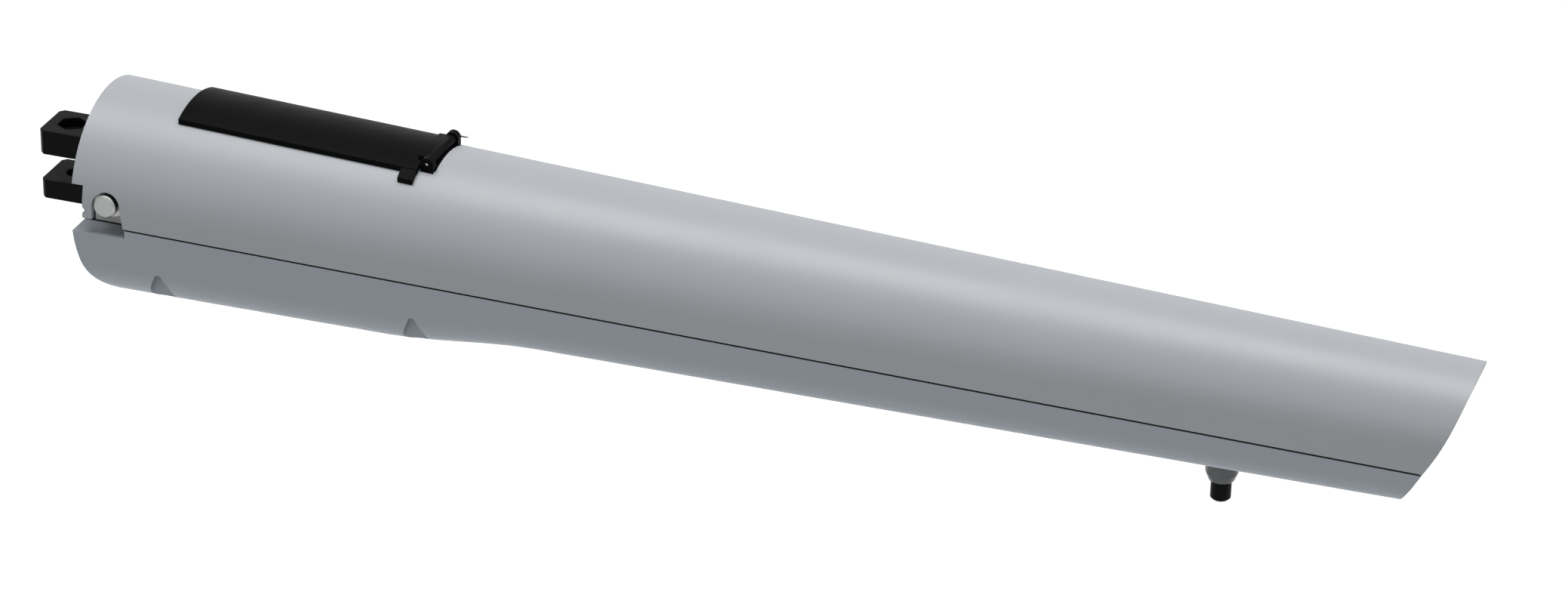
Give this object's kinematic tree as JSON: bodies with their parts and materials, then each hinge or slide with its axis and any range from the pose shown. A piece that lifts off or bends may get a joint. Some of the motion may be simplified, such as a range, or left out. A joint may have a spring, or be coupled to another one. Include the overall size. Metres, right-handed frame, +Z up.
{
  "type": "swing gate opener",
  "caption": "Linear electromechanical swing gate opener: tapering housing, rear fork, capped manual release, and a screw-driven front pin under the nose.",
  "frame": {"origin": "on the rear fork's vertical pivot axis, at the middle of the gap between its ears", "axes": "+X along the housing to the nose, +Z up, the front pin points down"},
  "size_m": [0.7261, 0.098, 0.1192],
  "materials": {
    "upper_paint": "satin light grey paint",
    "lower_paint": "satin bluish grey paint",
    "black_steel": "black finish on steel",
    "black_plastic": "fine-grained black",
    "zinc_steel": "bright zinc",
    "ground_steel": "ground or turned",
    "cast_aluminium": "die-cast or extruded, unpainted",
    "bronze": "turned",
    "rubber": "matt",
    "red_plastic": "moulded",
    "nylon": "natural",
    "copper": "lacquered copper",
    "ferrite": "sintered"
  },
  "bodies": {
    "casing": {"brush_holders": "black_plastic", "cable_gland": "black_plastic", "cap_hinge_wire": "ground_steel", "carbon_brushes": "ferrite", "carrier_screws": "zinc_steel", "case_screws": "zinc_steel", "cover_screws": "black_steel", "cross_pin": "zinc_steel", "fork_rod": "ground_steel", "frame_screws": "zinc_steel", "front_bearing": "ground_steel", "front_block": "cast_aluminium", "front_block_screws": "zinc_steel", "gearbox_case": "cast_aluminium", "gearbox_lid": "cast_aluminium", "guide_rail": "cast_aluminium", "layshaft_bushes": "bronze", "lid_screws": "zinc_steel", "lower_cover": "lower_paint", "motor_bearings": "ground_steel", "motor_can": "zinc_steel", "motor_end_cap": "black_plastic", "motor_flange": "zinc_steel", "motor_magnets": "ferrite", "motor_saddle": "rubber", "rail_screws": "zinc_steel", "rear_bearing": "ground_steel", "rear_carrier": "cast_aluminium", "release_frame": "black_plastic", "slot_seals": "rubber", "stop_buffers": "rubber", "stop_screws": "zinc_steel", "terminal_block": "black_plastic", "travel_stops": "cast_aluminium", "upper_cover": "upper_paint"},
    "fork": {"rear_fork": "black_steel", "fork_bush": "bronze"},
    "motor_rotor": {"motor_shaft": "ground_steel", "armature": "copper", "commutator": "copper", "motor_pinion": "ground_steel"},
    "intermediate": {"layshaft": "ground_steel", "first_wheel": "ground_steel", "second_pinion": "ground_steel"},
    "output": {"output_gear": "ground_steel", "gear_bush": "bronze"},
    "screw": {"lead_screw": "ground_steel", "bearing_inner_rings": "ground_steel"},
    "clutch": {"dog_clutch": "ground_steel"},
    "shifter": {"shift_fork": "ground_steel"},
    "knob": {"release_knob": "red_plastic"},
    "cap": {"release_cap": "black_plastic"},
    "carriage": {"carriage": "cast_aluminium", "bronze_nut": "bronze", "slide_shoes": "nylon", "front_pin": "black_steel", "pin_collar": "zinc_steel"}
  },
  "joints": [
    {"name": "fork_tilt", "type": "hinge", "parent": "casing", "child": "fork", "pos_m": [0.04, 0, 0.003], "axis": [0, 1, 0], "range_deg": [-3, 3]},
    {"name": "motor_spin", "type": "hinge", "parent": "casing", "child": "motor_rotor", "pos_m": [0.1, 0, -0.012], "axis": [1, 0, 0], "range_deg": [-4050, 117450]},
    {"name": "intermediate_spin", "type": "hinge", "parent": "casing", "child": "intermediate", "pos_m": [0.165, -0.01697, 0.00497], "axis": [1, 0, 0], "range_deg": [-39150, 1350]},
    {"name": "output_spin", "type": "hinge", "parent": "casing", "child": "output", "pos_m": [0.178, 0, -0.012], "axis": [1, 0, 0], "range_deg": [-450, 13050]},
    {"name": "screw_spin", "type": "hinge", "parent": "casing", "child": "screw", "pos_m": [0.4, 0, -0.012], "axis": [1, 0, 0], "range_deg": [-450, 13050]},
    {"name": "carriage_slide", "type": "slide", "parent": "casing", "child": "carriage", "axis": [1, 0, 0], "range_m": [-0.29, 0.01]},
    {"name": "knob_turn", "type": "hinge", "parent": "casing", "child": "knob", "pos_m": [0.16268, 0, 0.031], "axis": [0, 0, 1], "range_deg": [0, 90]},
    {"name": "shifter_slide", "type": "slide", "parent": "casing", "child": "shifter", "axis": [1, 0, 0], "range_m": [-0.00424, 0]},
    {"name": "clutch_slide", "type": "slide", "parent": "screw", "child": "clutch", "axis": [1, 0, 0], "range_m": [-0.00424, 0]},
    {"name": "cap_hinge", "type": "hinge", "parent": "casing", "child": "cap", "pos_m": [0.198, 0, 0.04], "axis": [0, 1, 0], "range_deg": [0, 100]}
  ],
  "couplings": [
    {"joint": "intermediate_spin", "follows": "motor_spin", "ratio": -0.33333},
    {"joint": "output_spin", "follows": "motor_spin", "ratio": 0.11111},
    {"joint": "screw_spin", "follows": "motor_spin", "ratio": 0.11111},
    {"joint": "carriage_slide", "follows": "motor_spin", "m_per_rad": -0.00014147},
    {"joint": "shifter_slide", "follows": "clutch_slide", "ratio": 1},
    {"joint": "knob_turn", "follows": "clutch_slide", "rad_per_m": -370.47}
  ]
}
